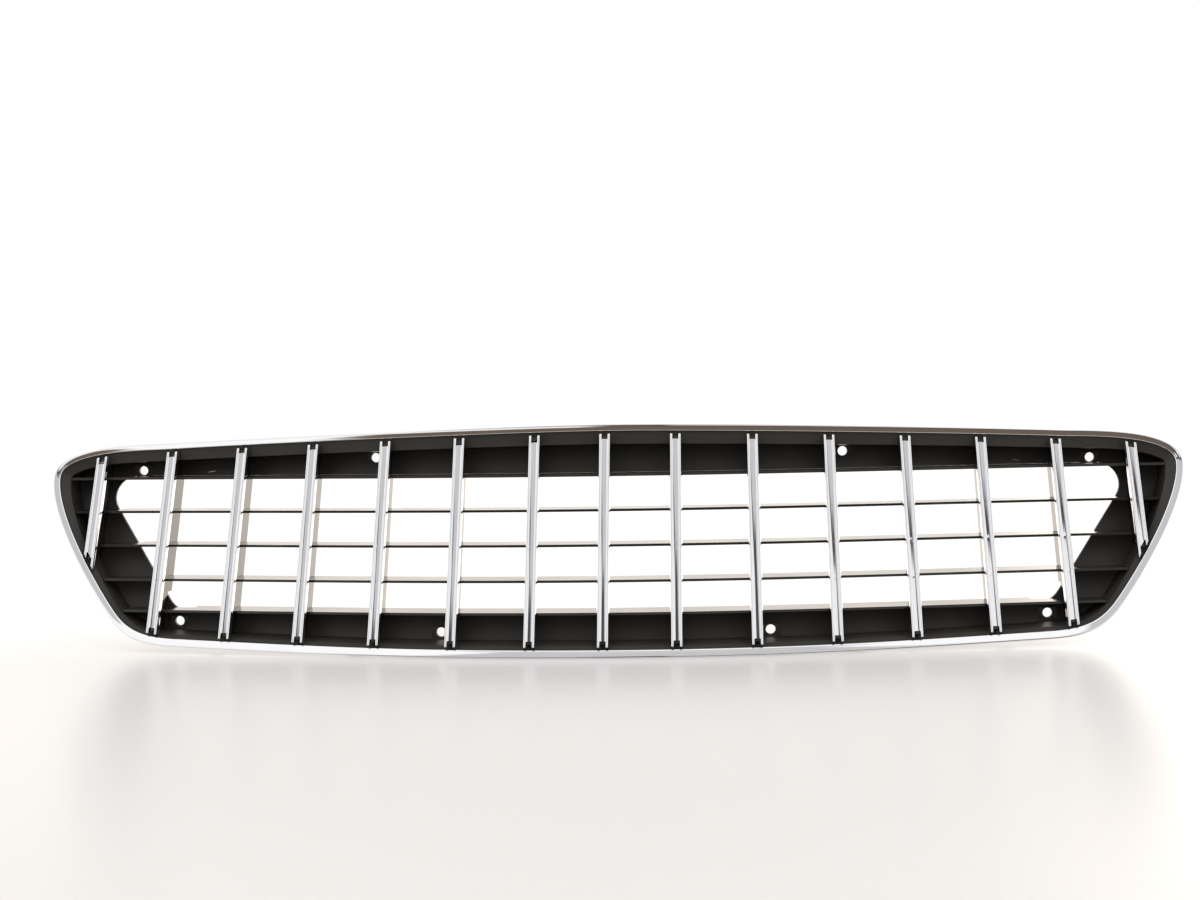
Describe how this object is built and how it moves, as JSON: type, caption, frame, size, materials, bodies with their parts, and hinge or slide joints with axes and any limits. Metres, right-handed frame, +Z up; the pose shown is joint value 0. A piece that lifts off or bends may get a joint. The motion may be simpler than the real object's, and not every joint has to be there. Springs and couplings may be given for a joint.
{
  "type": "front grille",
  "caption": "Bowed and raked front grille of a small car: bright surround, black tray and louvres, upright fins with double-ridge bright bars, screw seats at the back.",
  "frame": {"origin": "midway between the two upper inner screw holes, on the back face of their seats", "axes": "+X to the right of someone facing the grille's front, +Y backwards into the car along the screw holes, +Z up"},
  "size_m": [0.786, 0.1302, 0.1487],
  "materials": {
    "satin_black": "satin black moulded ABS with a fine grain",
    "bright_chrome": "bright chrome plate on ABS, slightly wavy, a few scuffs"
  },
  "bodies": {
    "root": {"tray_rail_upper": "satin_black", "tray_rail_lower": "satin_black", "tray_end_left": "satin_black", "tray_end_right": "satin_black", "chrome_surround": "bright_chrome", "louvre_1": "satin_black", "louvre_2": "satin_black", "louvre_3": "satin_black", "louvre_4": "satin_black", "louvre_5": "satin_black", "fin_01": "satin_black", "fin_02": "satin_black", "fin_03": "satin_black", "fin_04": "satin_black", "fin_05": "satin_black", "fin_06": "satin_black", "fin_07": "satin_black", "fin_08": "satin_black", "fin_09": "satin_black", "fin_10": "satin_black", "fin_11": "satin_black", "fin_12": "satin_black", "fin_13": "satin_black", "fin_14": "satin_black", "fin_15": "satin_black", "chrome_bar_01": "bright_chrome", "chrome_bar_02": "bright_chrome", "chrome_bar_03": "bright_chrome", "chrome_bar_04": "bright_chrome", "chrome_bar_05": "bright_chrome", "chrome_bar_06": "bright_chrome", "chrome_bar_07": "bright_chrome", "chrome_bar_08": "bright_chrome", "chrome_bar_09": "bright_chrome", "chrome_bar_10": "bright_chrome", "chrome_bar_11": "bright_chrome", "chrome_bar_12": "bright_chrome", "chrome_bar_13": "bright_chrome", "chrome_bar_14": "bright_chrome", "chrome_bar_15": "bright_chrome"}
  },
  "joints": []
}
